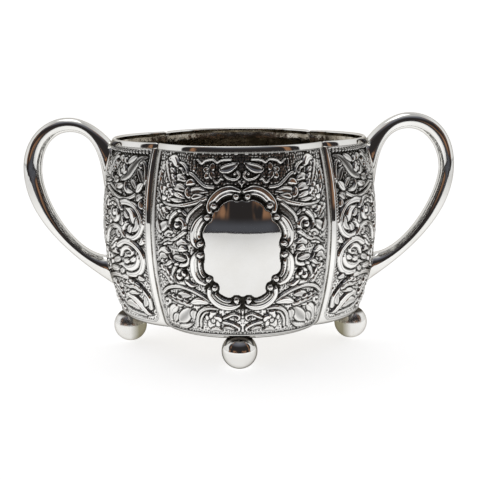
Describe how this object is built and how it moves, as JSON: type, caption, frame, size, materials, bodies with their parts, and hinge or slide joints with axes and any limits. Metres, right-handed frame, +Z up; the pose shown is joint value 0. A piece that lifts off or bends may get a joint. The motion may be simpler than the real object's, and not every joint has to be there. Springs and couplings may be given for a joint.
{
  "type": "sugar bowl",
  "caption": "Open lobed silver sugar bowl with chased scroll and flower panels, loop handles and ball feet.",
  "frame": {"origin": "centre of the footprint, on the table under the ball feet", "axes": "+X through the right handle, +Y to the back lobe, +Z up"},
  "size_m": [0.1578, 0.1018, 0.084],
  "materials": {
    "chased_silver": "chased relief, oxidised in the recesses",
    "polished_silver": "polished",
    "plain_silver": "polished, lightly worn"
  },
  "bodies": {
    "root": {"panel_front": "chased_silver", "panel_right": "chased_silver", "panel_back": "chased_silver", "panel_left": "chased_silver", "rim_wire_front": "polished_silver", "rim_wire_right": "polished_silver", "rim_wire_back": "polished_silver", "rim_wire_left": "polished_silver", "base_plate": "plain_silver", "handle_left": "polished_silver", "handle_right": "polished_silver", "foot_front": "polished_silver", "foot_right": "polished_silver", "foot_back": "polished_silver", "foot_left": "polished_silver"}
  },
  "joints": []
}
